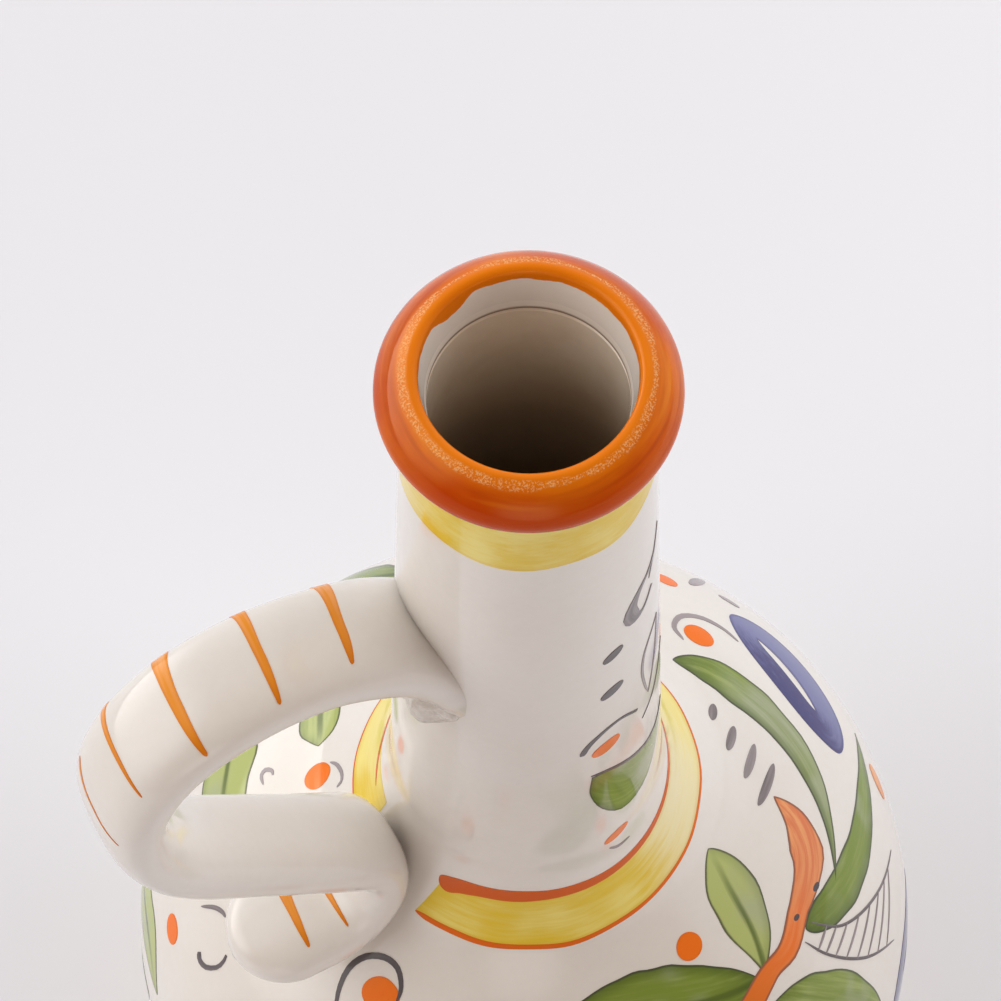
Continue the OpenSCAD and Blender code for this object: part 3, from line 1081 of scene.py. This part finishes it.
shoulderSpray = [
    # small leaf, dot and stem
    ("green ovate", 7.8, 1.0, [(-63.4, 130.8), (-58.6, 126.2), (-53.4, 120.6), (-47.2, 114.8)]),
    ("orange dash", 3.6, 0.0, [(-76.0, 120.1), (-68.4, 120.1)]),
    ("orange branch", 6.4, 2.0, [(-25.6, 124.8), (-31, 128.6), (-38, 130.8), (-48.1, 131.0),
        (-56, 131.9), (-62.5, 131.2), (-71, 132.2), (-80, 133.5)]),
    ("ink dash", 0.8, 0.1, [(-43.0, 132.6), (-40.8, 133.2)]),
    ("ink dash", 0.7, 0.1, [(-50.6, 130.9), (-49.0, 131.3)]),
    # long blades and the leaves below
    ("green dryBlade", 6.2, 0.26, [(16.6, 119.4), (11.5, 122.3), (5.3, 124.6), (-1.4, 126.8),
        (-8.7, 129.3), (-18.1, 132.2), (-27, 134.1), (-38.6, 136.3)]),
    ("green blade", 6.0, 0.20, [(-50.6, 133.2), (-45, 135.6), (-38, 138.5), (-30, 141.2), (-20, 144.4),
        (-13, 147.2), (-6.5, 150.2)]),
    ("green leaf", 11.0, 0.22, [(-65.0, 130.6), (-75, 127.6), (-87, 124.2), (-99, 122.2), (-114, 121.6)]),
    ("green leaf", 11.5, 0.30, [(-66.5, 134.5), (-60.5, 141.5), (-55, 150.5), (-51.5, 161.5)]),
    ("green leaf", 10.0, 0.25, [(-80, 134.5), (-87, 141), (-92, 149), (-95, 159)]),
    ("green leaf", 8.0, 0.60, [(-80, 133.5), (-92, 133.6), (-103, 136), (-112, 141)]),
    # row of dashes
    ("ink dash", 1.35, 0.55, [(-4.7, 117.9), (0.0, 119.9)]),
    ("ink dash", 1.35, 0.65, [(-14.2, 118.5), (-7.2, 121.3)]),
    ("ink dash", 1.25, 0.8, [(-22.0, 120.4), (-12.4, 123.5)]),
    ("ink dash", 1.25, 0.7, [(-28.8, 122.2), (-17.4, 125.7)]),
    # curl with its dot, and what peeps over the far edge
    ("ink line", 0.85, 0.9, [(13.2, 132.9), (17.5, 132.6), (21.8, 131.2), (24.6, 128.4), (23.6, 125.4),
        (19.6, 124.3)]),
    ("orange dash", 3.8, 0.0, [(21.8, 126.4), (15.0, 128.0)]),
    ("ink line", 0.42, 0.45, [(-48.9, 133.6), (-45.1, 139.7), (-35.1, 146.9), (-26.3, 151.8)]),
    ("ink line", 0.42, 0.45, [(-52.8, 133.9), (-51.6, 138.7), (-47.2, 146.2), (-39.9, 154.4)]),
    ("orange dash", 3.0, 0.8, [(-11.9, 150.9), (-17.2, 153.4)]),
]

neckBack = [
    ("green leaf", 7.0, 0.6, [(0, 86), (1, 76), (-1, 66), (0, 56)]),
    ("orange dash", 3.2, 0.0, [(-6.5, 46), (6.5, 46)]),
    ("ink dash", 1.5, 0.2, [(-14, 55), (-9, 50)]),
    ("ink dash", 1.5, 0.2, [(14, 55), (9, 50)]),
]

# open blue petals: place of the middle and tilt
petals = [((3.4, 139.2), -6), ((-35, 166.4), 12), ((37, 167.0), 168)]

farSpray = [
    ("orange dash", 3.0, 0.0, [(35.4, 136.4), (30.4, 135.8)]),
    ("ink dash", 1.6, 0.8, [(29.2, 139.4), (29.0, 146.4)]),
    ("ink dash", 1.4, 0.9, [(24.6, 142.4), (20.6, 143.6)]),
]

handleSide = [
    ("orange dash", 4.4, 0.35, [(147.1, 117.8), (139.5, 118.5)]),
    ("ink line", 0.6, 0.9, [(139.8, 116.3), (141.2, 114.8), (144.4, 113.5), (147.3, 113.3),
        (148.9, 114.2)]),
    ("ink line", 0.6, 0.95, [(143.4, 127.2), (141.2, 127.8), (139.9, 127.3), (140.2, 126.2),
        (141.4, 125.8)]),
    ("green leaf", 6.6, 0.75, [(118, 124.0), (124, 121.8), (129.5, 120.2), (134.2, 119.4)]),
    ("green leaf", 10.0, 0.95, [(123, 137.2), (134, 135.2), (146, 134.4), (160, 134.2)]),
    ("orange dash", 3.3, 0.0, [(160.2, 147.2), (165.0, 148.3)]),
    ("ink hook", 0.95, 0.35, [(169.6, 142.6), (170.8, 143.1), (172.6, 142.4), (174.1, 140.4),
        (174.2, 138.8), (173.7, 137.8)]),
    ("ink line", 0.65, 0.7, [(162.9, 139.7), (164.6, 137.2), (166.3, 135.9), (167.6, 135.6)]),
    ("ink line", 0.85, 0.25, [(-160.6, 129.6), (-163.6, 127.1), (-165.4, 123.7), (-164.6, 121.2),
        (-162.0, 119.6), (-158.4, 118.8), (-154.7, 119.2), (-151.8, 121.1), (-151.2, 123.4)]),
    ("orange dash", 4.5, 0.0, [(-160.2, 123.6), (-150.6, 123.0)]),
    ("green leaf", 8.0, 0.95, [(146, 161), (153, 158), (160, 157), (168, 159)]),
    ("ink line", 0.9, 0.3, [(-136.0, 131.0), (-139.2, 132.6), (-139.4, 135.8), (-135.4, 138.0),
        (-130.4, 137.0), (-128.2, 133.6)]),
    ("orange dash", 4.2, 0.0, [(-136.6, 134.4), (-130.0, 134.0)]),
]

bellySpray = [
    ("orange branch", 4.6, 2.0, [(0, 158.5), (2.5, 166), (-1.5, 175), (1.5, 185), (0, 196)]),
    ("green leaf", 9.0, 0.35, [(0.6, 168), (7, 167), (14, 163.5), (20, 158)]),
    ("green leaf", 9.0, 0.70, [(-0.6, 174), (-8, 173), (-15, 169.5), (-21, 164)]),
    ("green leaf", 9.6, 0.30, [(1, 182), (9, 182), (17, 179.5), (25, 175)]),
    ("green leaf", 9.6, 0.45, [(0.4, 190), (-9, 190), (-17, 187.6), (-25, 183)]),
    ("orange dash", 4.2, 0.0, [(10.0, 191.5), (15.2, 191.5)]),
    ("orange dash", 3.6, 0.0, [(-13.5, 180.2), (-9.0, 180.2)]),
    ("ink line", 1.0, 0.3, [(7.4, 195.4), (6.2, 191.6), (8.2, 187.4), (12.6, 185.6), (17, 187.4),
        (18.4, 191.4)]),
    ("ink dash", 1.5, 0.5, [(-20, 193), (-17.2, 196.4)]),
    ("ink dash", 1.5, 0.5, [(-16, 193), (-13.0, 197.2)]),
    ("ink dash", 1.5, 0.5, [(-12, 193), (-8.8, 198.0)]),
]

# a leaf has a rib, and on the long blade the brush ran dry
veins = {"leaf": 1.0, "ovate": 1.0, "dryBlade": -1.0}

# on the handle: width, then (run, angle) points of the strap
handleStrokes = [
    (2.35, [(15.6, 86), (16.6, 40), (18.0, -8), (18.5, -33)]),
    (1.9, [(25.8, 84), (26.1, 36), (26.7, -14), (27.0, -48)]),
    (2.35, [(34.6, 78), (34.8, 32), (35.2, -16), (35.3, -58)]),
    (1.15, [(42.5, 74), (42.7, 32), (43.0, -6), (43.3, -40)]),
    (0.62, [(48.8, 40), (50.2, 12), (51.2, -14), (52.0, -42)]),
    (1.9, [(130.2, 26), (130.5, 8), (130.8, -12), (130.9, -38)]),
    (1.2, [(123.5, 14), (123.6, -6), (123.8, -40)]),
]


def mirrored(rows, about):
    return [(kind, w, o, [(about - a, r) for a, r in p]) for kind, w, o, p in rows]


def turned(rows, by, down):
    return [(kind, w, o, [(a + by, r + down) for a, r in p]) for kind, w, o, p in rows]


def roundNoise(azimuth, waves, seed):
    # noise that has no seam round the bottle
    a = radians(azimuth)
    return noise.noise((waves * cos(a), waves * sin(a), seed))


def hump(azimuth, at, wide):
    return exp(-(((azimuth - at) / wide) ** 2))


def wavy(run, seed, size=bands["wobble"]):
    return lambda az: run + size * roundNoise(az, 3, seed)


def neckEnd(az):
    # the lower edge rises a little where the next turn of the brush began
    gap = (az - bands["neckJoin"] + 180) % 360 - 180
    return bands["neckBottom"] - 1.8 * hump(gap, 0, 18) + 0.5 * roundNoise(az, 2, 2)


def neckTone(az):
    # the brush was set down full on the handle's side
    return 0.45 + 0.7 * hump(az, 201, 11)


ringEdge = wavy(bands["ringBottom"], 4)


def ringEnd(az):
    return ringEdge(az) + 1.7 * hump(az, 9, 45)


def ringTone(az):
    # a full brush at the start, thin paint further round; the pale dip near -38 degrees is partly a painted
    # highlight
    return 0.5 + 0.35 * hump(az, -150, 20) - 0.55 * hump(az, -38, 36)


def evenTone(az):
    return 0.6


def paintBands(yellow, orange):
    yellow.band(wavy(bands["neckTop"], 1, 0.1), neckEnd, neckTone)
    # the ring is open where the handle's tail lies
    start, end, slant = bands["ringStart"], bands["ringEnd"], bands["slant"]
    yellow.arc(start, end, wavy(bands["ringTop"], 3, 0.25), ringEnd, ringTone, brush["ringRows"], slant)
    yellow.band(wavy(bands["baseTop"], 5), wavy(bands["baseBottom"], 6), evenTone)
    swell = [(-153.8, 104.2), (-148, 102.9), (-138, 102.1), (-120, 101.8)]
    swell += [(az, 101.8 + 0.2 * sin(az)) for az in range(-100, 121, 20)] + [(139, 102.4), (158, 104.4)]
    orange.strip(swell, 3.0, "ring", -1.0)
    edge = []
    for k in range(25):
        t = k / 24
        edge.append((start - slant + (end - start + slant) * t, ringEnd(start + (end - start) * t) + 0.1))
    orange.strip(edge, 0.9, "round", -0.62)
    base = wavy(bands["baseTop"] - 1.6, 5)
    orange.band(base, lambda az: base(az) + 1.5, evenTone)


def paintAll():
    paint = {name: Paint(paints[name]["lift"]) for name in paintKinds}
    paintBands(paint["yellow"], paint["orange"])
    for top, bottom in (olive, [[(-a, r) for a, r in row] for row in reversed(olive)]):
        paint["green"].patch(top, bottom, 0.25)
    # the back repeats the front's sprays, turned about, without the blades
    rows = neckSpray + mirrored(neckSpray, 0) + neckBack
    rows += shoulderSpray + mirrored(shoulderSpray[:5] + shoulderSpray[7:11], 4)
    rows += farSpray + handleSide
    for k in range(5):
        rows += turned(bellySpray, 72 * k + 1, 8)
    # hatching between the two fine arcs
    upper, lower = shoulderSpray[-3][3], shoulderSpray[-2][3]
    for k in range(8):
        t = 0.16 + 0.1 * k
        line = [tuple(alongCurve(upper, t)), tuple(alongCurve(lower, t + 0.04))]
        rows.append(("ink line", 0.36, 0.75, line))
    for kind, width, tone, points in rows:
        colour, shape = kind.split()
        paint[colour].strip(points, width, shape, tone, veins.get(shape, 0.0))
    for width, points in handleStrokes:
        paint["orange"].strip(points, width, "drop", 1.0, 0.0, onStrap, strapMetric, brush["strapStep"])
    for centre, tilt in petals:
        paint["blue"].ring(centre, (12.0, 6.2), (6.2, 0.85), (0.6, -0.9), tilt)
    for name, (_, slot) in paintKinds.items():
        piece = paint[name].finish(name + "Paint", makePaint(name), slot)
        print(name, "painted:", paint[name].count, "strokes,", len(piece.data.polygons), "faces")


paintAll()


# studio: pale floor, soft side lights, camera as in the photograph

studio = {
    "camera": (-96.233, -166.681, 594.27),
    "pitch": 64.751, "yaw": -0.87, "roll": -0.233, "turned": -30.0, "lens": 151.41,
    "sensor": 36.0,
    "clip": (0.01, 50.0),
    "floor": (0.86, 0.875, 0.92, 1),
    "floorRough": 0.9, "floorSpecular": 0.1, "floorSize": 4.0,
    "front": (-0.46, -0.80, 0.38),
    "room": (0.90, 0.90, 0.93, 1),
    "ceiling": (0.68, 0.68, 0.70, 1),
    "dimSide": (0.285, 0.21, 0.17, 1),
    # direction, where it fades out, colour, and whether only the glaze shows it
    "glows": [
        ((-0.81, 0.35, 0.47), 0.68, (2.45, 2.41, 2.38, 1), False),
        ((-0.49, -0.86, 0.12), 0.89, (1.7, 1.56, 1.48, 1), False),
        ((-0.57, 0.81, 0.13), 0.72, (3.6, 3.5, 3.4, 1), True),
    ],
    # place, size and power
    "boxes": {
        "rightBox": ((1.0, -0.45, 0.7), (0.8, 0.8), 4.6),
        "backBox": ((0.45, 0.90, 1.1), (1.0, 0.8), 4.2),
    },
    "boxAim": (0, 0, 0.12),
}


def makeCamera():
    pitch, yaw = radians(studio["pitch"]), radians(studio["yaw"])
    ahead = Vector((sin(yaw) * cos(pitch), cos(yaw) * cos(pitch), -sin(pitch)))
    right = ahead.cross(Vector((0, 0, 1))).normalized()
    up = right.cross(ahead)
    roll = Matrix.Rotation(-radians(studio["roll"]), 3, ahead)
    right, up = roll @ right, roll @ up
    turn = Matrix.Rotation(radians(studio["turned"]), 3, "Z")
    look = Matrix((turn @ right, turn @ up, turn @ -ahead)).transposed().to_4x4()
    data = bpy.data.cameras.new("photoCamera")
    data.lens, data.sensor_width = studio["lens"], studio["sensor"]
    data.clip_start, data.clip_end = studio["clip"]
    camera = addObject("photoCamera", data)
    camera.matrix_world = Matrix.Translation(Vector(studio["camera"]) * mm) @ look
    bpy.context.scene.camera = camera


def makeFloor():
    paper = startFinish("paperFloor").shade({
        "Base Color": studio["floor"],
        "Roughness": studio["floorRough"],
        "Specular IOR Level": studio["floorSpecular"],
    })
    bm = bmesh.new()
    bmesh.ops.create_grid(bm, x_segments=1, y_segments=1, size=studio["floorSize"])
    addMesh(bm, "floor", paper)


def makeSoftbox(name, place, size, power):
    data = bpy.data.lights.new(name, "AREA")
    data.shape, data.size, data.size_y, data.energy = "RECTANGLE", size[0], size[1], power
    lamp = addObject(name, data)
    lamp.location = place
    lamp.rotation_euler = (Vector(studio["boxAim"]) - Vector(place)).to_track_quat("-Z", "Y").to_euler()
    lamp.visible_glossy = False


def makeRoom():
    # a pale room, dimmer and warmer on the side where the camera stands
    m = Finish(bpy.data.worlds.new("studio"))
    bpy.context.scene.world = m.owner
    aim = m.node("TexCoord")["Generated"]
    colour = m.mix(m.rise(m.split(aim)[2], 0.2, 0.85), studio["room"], studio["ceiling"])
    colour = m.mix(m.rise(m.dot(aim, studio["front"]), -0.35, 0.65), colour, studio["dimSide"])
    # soft glows: a broad one from the left, a low one in front that picks out the edges
    # and a gleam low behind the handle that only the glaze shows
    glossy = m.node("LightPath")["Is Glossy Ray"]
    for side, wide, glow, onlyGlaze in studio["glows"]:
        near = m.rise(m.dot(aim, side), wide, 1.0)
        colour = m.coat(colour, glow, m.times(near, near), glossy if onlyGlaze else 1.0)
    background = m.tree.nodes["Background"]
    m.put(colour, background.inputs["Color"])
    m.put(1.0, background.inputs["Strength"])


makeCamera()
makeFloor()
makeRoom()
for name, box in studio["boxes"].items():
    makeSoftbox(name, *box)
bpy.context.scene.view_settings.view_transform = "Standard"
print("studio set")
